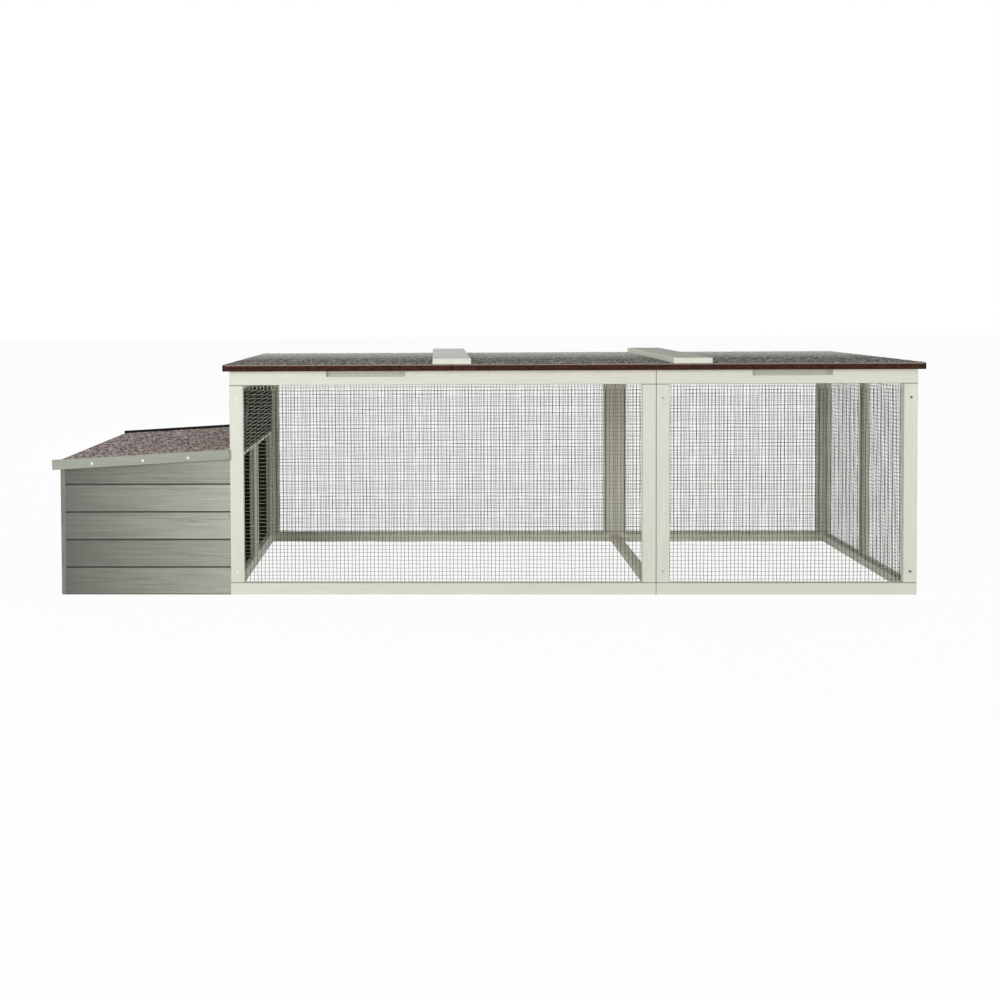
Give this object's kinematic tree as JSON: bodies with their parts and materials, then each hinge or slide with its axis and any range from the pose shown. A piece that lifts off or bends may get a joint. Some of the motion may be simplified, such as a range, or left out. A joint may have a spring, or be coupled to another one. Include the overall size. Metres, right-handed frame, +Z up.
{
  "type": "chicken run with nest box",
  "caption": "Low timber-framed poultry run with wire mesh sides, felted lift-up roof lids and a boarded nest box with a sloping hinged lid on its left end.",
  "frame": {"origin": "middle of the ground footprint", "axes": "+X along the run away from the nest box, +Y from front to back, +Z up"},
  "size_m": [2.8954, 0.895, 0.79],
  "materials": {
    "cream_paint": "satin cream paint on pine",
    "grey_paint": "grey-green stain on pine boards",
    "bare_wood": "unpainted pine and plywood",
    "black_paint": "black paint on pine",
    "roof_felt": "mineral-faced roofing felt",
    "nest_felt": "mineral-faced roofing felt",
    "wire_mesh": "dark coated steel wire",
    "hinge_steel": "zinc-plated steel",
    "screw_paint": "coated screw heads"
  },
  "bodies": {
    "run": {"back_left_bottom_rail": "cream_paint", "back_left_net": "wire_mesh", "back_left_stile_left": "cream_paint", "back_left_stile_right": "cream_paint", "back_left_top_rail": "cream_paint", "back_right_bottom_rail": "cream_paint", "back_right_net": "wire_mesh", "back_right_stile_left": "cream_paint", "back_right_stile_right": "cream_paint", "back_right_top_rail": "cream_paint", "floor_tie": "cream_paint", "frame_screws": "screw_paint", "front_left_bottom_rail": "cream_paint", "front_left_net": "wire_mesh", "front_left_stile_left": "cream_paint", "front_left_stile_right": "cream_paint", "front_left_top_rail": "cream_paint", "front_right_bottom_rail": "cream_paint", "front_right_net": "wire_mesh", "front_right_stile_left": "cream_paint", "front_right_stile_right": "cream_paint", "front_right_top_rail": "cream_paint", "hinge_pins": "hinge_steel", "left_side_bottom_rail": "cream_paint", "left_side_door_post": "cream_paint", "left_side_end_stiles": "cream_paint", "left_side_middle_rail": "cream_paint", "left_side_net": "wire_mesh", "left_side_top_rail": "cream_paint", "nest_corner_posts": "bare_wood", "nest_divider": "bare_wood", "nest_floor": "bare_wood", "nest_floor_battens": "bare_wood", "nest_front_wall": "grey_paint", "nest_hinge_wall_leaf": "hinge_steel", "nest_outer_wall": "grey_paint", "nest_rear_wall": "grey_paint", "right_side_bottom_rail": "cream_paint", "right_side_end_stiles": "cream_paint", "right_side_net": "wire_mesh", "right_side_stile_middle": "cream_paint", "right_side_top_rail": "cream_paint", "roof_board_middle": "bare_wood", "roof_felt_middle": "roof_felt", "roof_hinge_frame_leaves": "hinge_steel", "roof_ties": "bare_wood"},
    "left_roof_lid": {"roof_board_left_lid": "bare_wood", "roof_felt_left_lid": "roof_felt", "roof_batten_left": "cream_paint", "roof_hinge_leaves_left_lid": "hinge_steel"},
    "right_roof_lid": {"roof_board_right_lid": "bare_wood", "roof_felt_right_lid": "roof_felt", "roof_batten_right": "cream_paint", "roof_hinge_leaves_right_lid": "hinge_steel"},
    "nest_lid": {"nest_lid_board": "bare_wood", "nest_lid_felt": "nest_felt", "nest_lid_front_fascia": "grey_paint", "nest_lid_rear_trim": "black_paint", "nest_hinge_lid_leaf": "hinge_steel", "nest_lid_screws": "screw_paint"}
  },
  "joints": [
    {"name": "left_roof_hinge", "type": "hinge", "parent": "run", "child": "left_roof_lid", "pos_m": [-0.49, 0.4382, 0.75], "axis": [-1, 0, 0], "range_deg": [0, 100]},
    {"name": "right_roof_hinge", "type": "hinge", "parent": "run", "child": "right_roof_lid", "pos_m": [1.07, 0.4382, 0.75], "axis": [-1, 0, 0], "range_deg": [0, 100]},
    {"name": "nest_lid_hinge", "type": "hinge", "parent": "run", "child": "nest_lid", "pos_m": [-0.8562, 0.0045, 0.4827], "axis": [0, 1, 0], "range_deg": [0, 80]}
  ]
}
